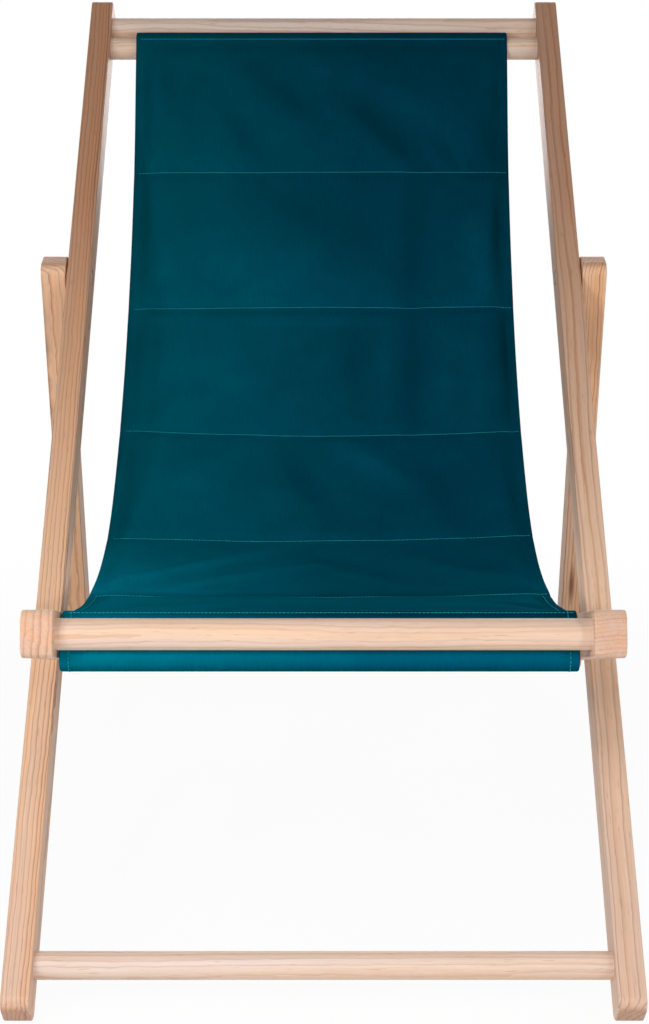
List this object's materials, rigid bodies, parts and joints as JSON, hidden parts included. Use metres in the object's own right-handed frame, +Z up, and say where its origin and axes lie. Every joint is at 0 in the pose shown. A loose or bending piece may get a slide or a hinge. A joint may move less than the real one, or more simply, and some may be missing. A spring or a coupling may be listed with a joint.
{
  "type": "folding lounge chair",
  "caption": "Folding wooden lounge chair: crossed back and seat frames, a prop frame behind, and a quilted fabric sling hung between round bars; it reclines and folds flat.",
  "frame": {"origin": "on the floor under the middle of the chair's box, in the open position", "axes": "+Z up, +Y from the foot end towards the head end, +X to the right seen from the front"},
  "size_m": [0.595, 0.9506, 0.8177],
  "materials": {
    "rail_wood": "planed, thin clear coat",
    "bar_wood": "turned, thin clear coat",
    "pivot_steel": "zinc plated",
    "brad_steel": "bright",
    "sling_fabric": "satin polyester, quilted"
  },
  "bodies": {
    "back_frame": {"back_rail_left": "rail_wood", "back_rail_right": "rail_wood", "top_bar": "bar_wood", "sling_bar_top": "bar_wood", "bottom_bar": "bar_wood", "back_frame_pins": "brad_steel", "main_pivot_bolt_left": "pivot_steel", "main_pivot_bolt_right": "pivot_steel", "main_pivot_nut_left": "pivot_steel", "main_pivot_nut_right": "pivot_steel", "main_pivot_washers": "pivot_steel", "prop_pivot_bolt_left": "pivot_steel", "prop_pivot_bolt_right": "pivot_steel", "prop_pivot_nut_left": "pivot_steel", "prop_pivot_nut_right": "pivot_steel", "prop_pivot_washers": "pivot_steel", "sling": "sling_fabric", "sling_dowel_top": "bar_wood"},
    "seat_frame": {"seat_rail_left": "rail_wood", "seat_rail_right": "rail_wood", "front_bar": "bar_wood", "sling_bar_front": "bar_wood", "rear_bar": "bar_wood", "seat_frame_pins": "brad_steel", "sling_dowel_front": "bar_wood"},
    "prop_frame": {"prop_leg_left": "rail_wood", "prop_leg_right": "rail_wood", "prop_bar": "bar_wood", "prop_frame_pins": "brad_steel"}
  },
  "joints": [
    {"name": "seat_fold", "type": "hinge", "parent": "back_frame", "child": "seat_frame", "pos_m": [0, -0.19, 0.24821], "axis": [1, 0, 0], "range_deg": [0, 59], "deforming": ["sling"]},
    {"name": "prop_swing", "type": "hinge", "parent": "back_frame", "child": "prop_frame", "pos_m": [0, 0.1466, 0.53927], "axis": [1, 0, 0], "range_deg": [0, 118]}
  ],
  "couplings": [
    {"joint": "prop_swing", "follows": "seat_fold", "ratio": 2}
  ]
}
